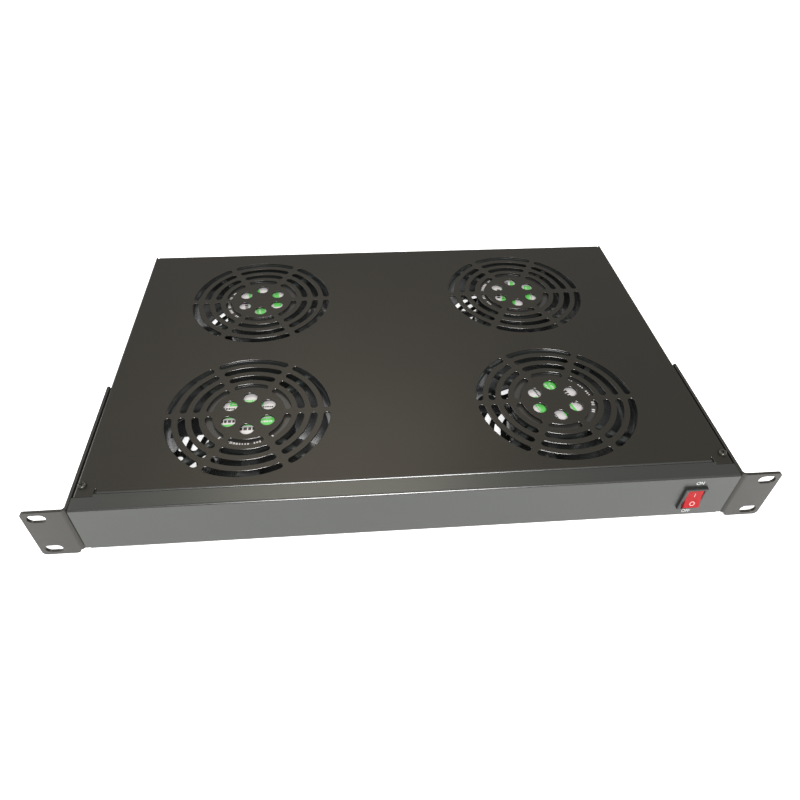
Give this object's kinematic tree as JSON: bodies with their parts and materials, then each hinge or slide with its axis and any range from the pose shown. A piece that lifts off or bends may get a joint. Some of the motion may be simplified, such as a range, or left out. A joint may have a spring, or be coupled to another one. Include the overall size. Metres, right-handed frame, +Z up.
{
  "type": "rack fan tray",
  "caption": "One-unit rack fan tray: flat folded steel case with round slotted grilles over axial fans, rack ears, front rocker switch and rear mains inlet.",
  "frame": {"origin": "centre of the four rack slots on the back face of the ears, where they bear on the rack's rails", "axes": "+X to the right seen from the front, +Y to the back, +Z up"},
  "size_m": [0.4826, 0.2968, 0.0459],
  "materials": {
    "black_powder_coat": "fine textured satin powder coat",
    "ear_powder_coat": "fine textured satin powder coat",
    "black_screw": "black oxide",
    "zinc_screw": "bright zinc plate",
    "fan_casting": "semi gloss black paint on die cast aluminium",
    "impeller_black": "moulded, semi gloss",
    "core_steel": "stacked laminations",
    "shaft_steel": "ground",
    "switch_black": "fine texture",
    "rocker_red": "gloss",
    "tag_brass": "tinned brass",
    "inlet_black": "fine texture",
    "block_white": "moulded",
    "lead_pvc": "smooth PVC"
  },
  "bodies": {
    "chassis": {"base_tray": "black_powder_coat", "cover_screws": "black_screw", "ear_nuts": "zinc_screw", "ear_screws": "black_screw", "fan_frame_front_left": "fan_casting", "fan_frame_front_right": "fan_casting", "fan_frame_rear_left": "fan_casting", "fan_frame_rear_right": "fan_casting", "fan_leads": "lead_pvc", "fan_screws": "zinc_screw", "fan_stator_front_left": "core_steel", "fan_stator_front_right": "core_steel", "fan_stator_rear_left": "core_steel", "fan_stator_rear_right": "core_steel", "inlet_nuts": "zinc_screw", "inlet_pins": "tag_brass", "inlet_screws": "zinc_screw", "left_rack_ear": "ear_powder_coat", "mains_leads": "lead_pvc", "power_inlet": "inlet_black", "right_rack_ear": "ear_powder_coat", "switch_housing": "switch_black", "switch_terminals": "tag_brass", "terminal_block": "block_white", "top_cover": "black_powder_coat"},
    "rotor_front_left": {"fan_impeller_front_left": "impeller_black", "fan_shaft_front_left": "shaft_steel"},
    "rotor_front_right": {"fan_impeller_front_right": "impeller_black", "fan_shaft_front_right": "shaft_steel"},
    "rotor_rear_left": {"fan_impeller_rear_left": "impeller_black", "fan_shaft_rear_left": "shaft_steel"},
    "rotor_rear_right": {"fan_impeller_rear_right": "impeller_black", "fan_shaft_rear_right": "shaft_steel"},
    "rocker": {"switch_rocker": "rocker_red"}
  },
  "joints": [
    {"name": "spin_front_left", "type": "hinge", "parent": "chassis", "child": "rotor_front_left", "pos_m": [-0.11035, 0.076, 0], "axis": [0, 0, 1], "continuous": true},
    {"name": "spin_front_right", "type": "hinge", "parent": "chassis", "child": "rotor_front_right", "pos_m": [0.11035, 0.076, 0], "axis": [0, 0, 1], "continuous": true},
    {"name": "spin_rear_left", "type": "hinge", "parent": "chassis", "child": "rotor_rear_left", "pos_m": [-0.11035, 0.213, 0], "axis": [0, 0, 1], "continuous": true},
    {"name": "spin_rear_right", "type": "hinge", "parent": "chassis", "child": "rotor_rear_right", "pos_m": [0.11035, 0.213, 0], "axis": [0, 0, 1], "continuous": true},
    {"name": "switch_rock", "type": "hinge", "parent": "chassis", "child": "rocker", "pos_m": [0.186, 0.0002, 0.0014], "axis": [1, 0, 0], "range_deg": [0, 20]}
  ]
}
